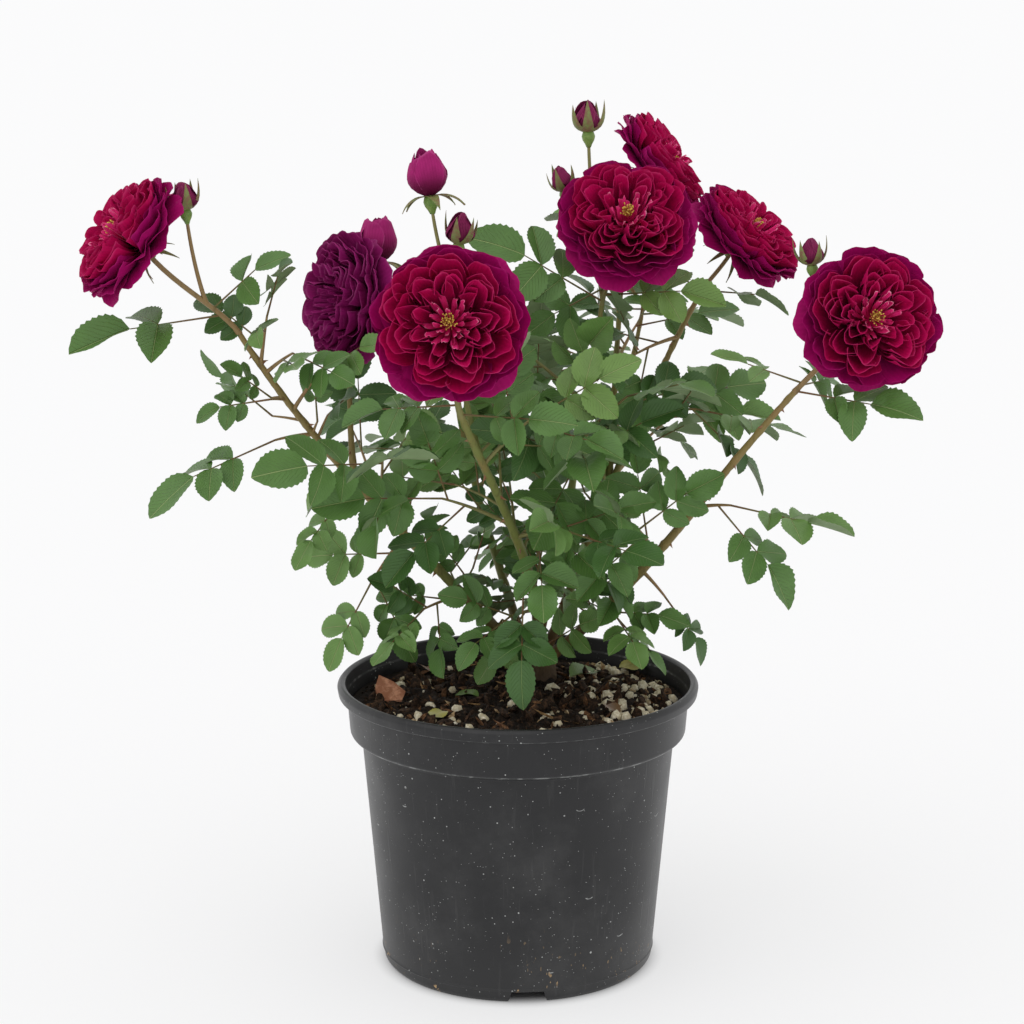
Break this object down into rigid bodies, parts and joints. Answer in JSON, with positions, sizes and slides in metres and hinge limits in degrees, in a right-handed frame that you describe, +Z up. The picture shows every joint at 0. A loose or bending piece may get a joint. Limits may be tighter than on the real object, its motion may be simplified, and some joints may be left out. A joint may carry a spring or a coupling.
{
  "type": "potted rose bush",
  "caption": "Open shrub rose with arching canes, compound leaves, full double crimson blooms and pointed buds, growing in a round tapered nursery pot of potting mix",
  "frame": {"origin": "middle of the pot's flat underside, on the ground plane", "axes": "+Z up through the pot's axis; the plant's front looks along -Y; +X to the plant's right as seen from the front"},
  "size_m": [0.5521, 0.3635, 0.5773],
  "materials": {
    "pot_plastic": "black moulded plastic, satin, dusty",
    "potting_mix": "dark composted bark with pale mineral grains",
    "old_wood": "rough brown bark",
    "green_bark": "smooth olive-green bark with prickles",
    "flowers": "velvety crimson and purple petals",
    "foliage": "semi-matt green leaf"
  },
  "bodies": {
    "root": {"pot": "pot_plastic", "soil": "potting_mix", "bud_union": "old_wood", "cane_left": "green_bark", "cane_front": "green_bark", "cane_centre": "green_bark", "cane_right_back": "green_bark", "cane_right": "green_bark", "cane_back_left": "green_bark", "cane_twin": "green_bark", "cane_pair": "green_bark", "cane_high": "green_bark", "cane_back_right": "green_bark", "top_left": "flowers", "top_twin": "flowers", "top_front": "flowers", "top_pair": "flowers", "top_centre": "flowers", "top_high": "flowers", "top_right_back": "flowers", "top_right": "flowers", "top_back_left": "flowers", "top_back_right": "flowers", "shoot_left_upper": "foliage", "shoot_left_inner": "foliage", "shoot_left_outer": "foliage", "shoot_left_low": "foliage", "shoot_left_down": "foliage", "shoot_left_hang": "foliage", "shoot_left_side": "foliage", "shoot_left_back": "foliage", "shoot_left_foot": "foliage", "shoot_apron": "foliage", "shoot_front_left": "foliage", "shoot_front_right": "foliage", "shoot_front_high": "foliage", "shoot_front_foot": "foliage", "shoot_centre_front": "foliage", "shoot_centre_left": "foliage", "shoot_centre_right": "foliage", "shoot_centre_back": "foliage", "shoot_right_mid": "foliage", "shoot_right_top": "foliage", "shoot_right_side": "foliage", "shoot_right_foot": "foliage", "shoot_right_inner": "foliage", "shoot_right_hang": "foliage", "shoot_right_low": "foliage", "shoot_high_back": "foliage", "shoot_back_foot": "foliage", "shoot_back_middle": "foliage", "shoot_back_outer": "foliage", "shoot_back_side": "foliage", "shoot_back_high": "foliage"}
  },
  "joints": []
}
